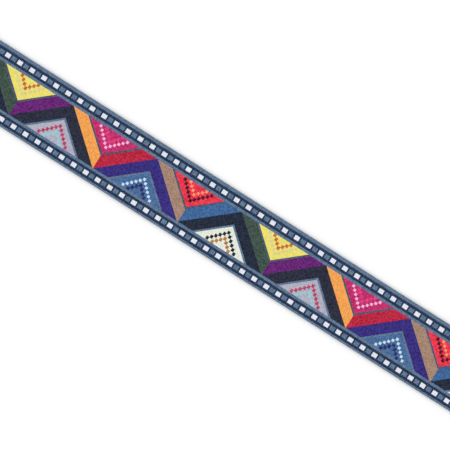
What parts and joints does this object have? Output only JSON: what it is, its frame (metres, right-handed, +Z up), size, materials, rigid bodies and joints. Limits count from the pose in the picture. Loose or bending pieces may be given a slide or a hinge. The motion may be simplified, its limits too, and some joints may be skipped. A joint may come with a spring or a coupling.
{
  "type": "guitar strap",
  "caption": "Adjustable guitar strap: a patterned woven band on backing webbing, leather button tabs at the ends, and a plain webbing tail that runs round a wire ring and through a slider.",
  "frame": {"origin": "on the ground under the middle of the strap, which lies straight and flat with its face up", "axes": "+X along the strap from the head tab to the tail tab, +Y across it, +Z up out of the patterned face"},
  "size_m": [1.173, 0.062, 0.0106],
  "materials": {
    "woven_band": "jacquard woven polyester in zigzag stripes and triangles, satin",
    "backing_webbing": "navy polypropylene webbing, matt",
    "tail_webbing": "navy polypropylene webbing, matt",
    "leather": "black grained leather, cut edges",
    "nickel": "nickel-plated steel, polished",
    "thread": "slate bonded nylon thread"
  },
  "bodies": {
    "strap": {"woven_band": "woven_band", "woven_band_ring_loop": "woven_band", "backing_webbing": "backing_webbing", "backing_ring_loop": "backing_webbing", "band_edge_stitches_left": "thread", "band_edge_stitches_right": "thread", "ring_loop_stitches": "thread", "head_tab_front_leaf": "leather", "head_tab_back_leaf": "leather", "head_tab_box_seam": "thread", "head_tab_tip_seam": "thread"},
    "ring": {"ring": "nickel"},
    "tail_loop": {"tail_web_ring_fold": "tail_webbing", "tail_web_lower_run": "tail_webbing"},
    "slider": {"slider_plate": "nickel", "slider_center_bar": "nickel", "tail_web_slider_loop": "tail_webbing", "slider_loop_stitches": "thread"},
    "tail_end": {"tail_web_upper_run": "tail_webbing", "tail_tab_front_leaf": "leather", "tail_tab_back_leaf": "leather", "tail_tab_box_seam": "thread", "tail_tab_tip_seam": "thread"}
  },
  "joints": [
    {"name": "ring_swing", "type": "hinge", "parent": "strap", "child": "ring", "pos_m": [0.0635, 0, 0.00465], "axis": [0, -1, 0], "range_deg": [-90, 90]},
    {"name": "tail_swing", "type": "hinge", "parent": "ring", "child": "tail_loop", "pos_m": [0.0815, 0, 0.00465], "axis": [0, -1, 0], "range_deg": [-90, 90]},
    {"name": "length_adjust", "type": "slide", "parent": "tail_loop", "child": "tail_end", "axis": [1, 0, 0], "range_m": [0, 0.3]},
    {"name": "slider_travel", "type": "slide", "parent": "tail_loop", "child": "slider", "axis": [1, 0, 0], "range_m": [-0.3, 0], "deforming": ["tail_web_lower_run"]}
  ],
  "couplings": [
    {"joint": "slider_travel", "follows": "length_adjust", "ratio": -1}
  ]
}
